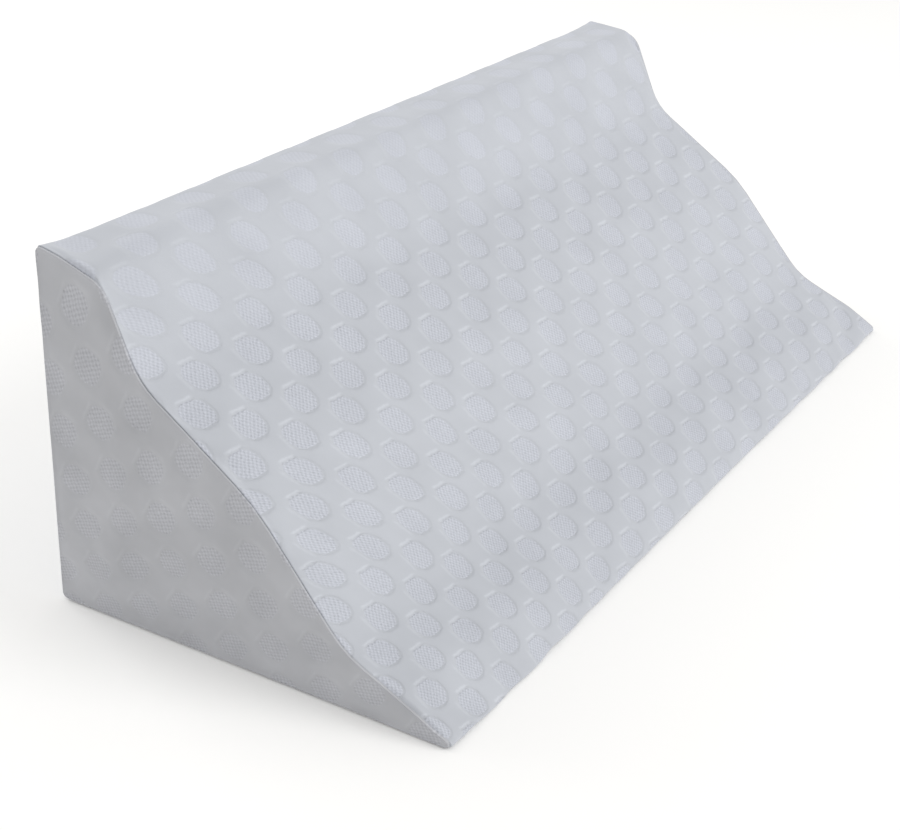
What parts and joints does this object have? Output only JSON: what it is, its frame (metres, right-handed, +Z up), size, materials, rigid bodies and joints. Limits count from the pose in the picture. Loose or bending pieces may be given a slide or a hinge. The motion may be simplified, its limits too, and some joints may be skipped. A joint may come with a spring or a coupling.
{
  "type": "wedge pillow",
  "caption": "Foam wedge pillow with a stepped concave slope, in a knitted cover with embossed dots and a sewn panel at each end.",
  "frame": {"origin": "under the middle of the pillow, on the surface that it rests on", "axes": "+X along the pillow, -Y the way the slope faces, +Y the upright back, +Z up"},
  "size_m": [0.603, 0.2442, 0.2008],
  "materials": {
    "cover_knit": "matt double knit with raised dots",
    "end_panel_knit": "matt double knit with raised dots, grain turned"
  },
  "bodies": {
    "root": {"wedge_cushion": "cover_knit", "end_panel_left": "end_panel_knit", "end_panel_right": "end_panel_knit"}
  },
  "joints": []
}
